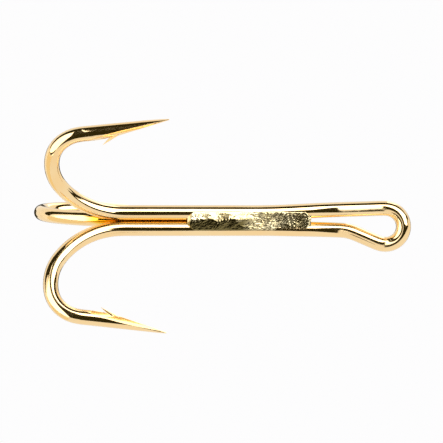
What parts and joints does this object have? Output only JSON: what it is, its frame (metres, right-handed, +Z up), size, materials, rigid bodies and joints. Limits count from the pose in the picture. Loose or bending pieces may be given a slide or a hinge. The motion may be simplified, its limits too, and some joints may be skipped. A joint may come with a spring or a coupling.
{
  "type": "treble hook",
  "caption": "Three-pointed barbed fishing hook: a double hook with an open eye loop and a single hook brazed behind it.",
  "frame": {"origin": "centre of the eye loop", "axes": "+Z up along the shanks towards the eye, +Y the direction in which the single rear hook points"},
  "size_m": [0.0149, 0.0129, 0.0261],
  "materials": {
    "plated_wire": "bright gold plating over tempered steel wire",
    "plated_braze": "rough crystalline braze under the gold plating"
  },
  "bodies": {
    "root": {"double_hook_wire": "plated_wire", "rear_hook_wire": "plated_wire", "front_braze_fillet": "plated_braze", "left_braze_fillet": "plated_braze", "right_braze_fillet": "plated_braze"}
  },
  "joints": []
}
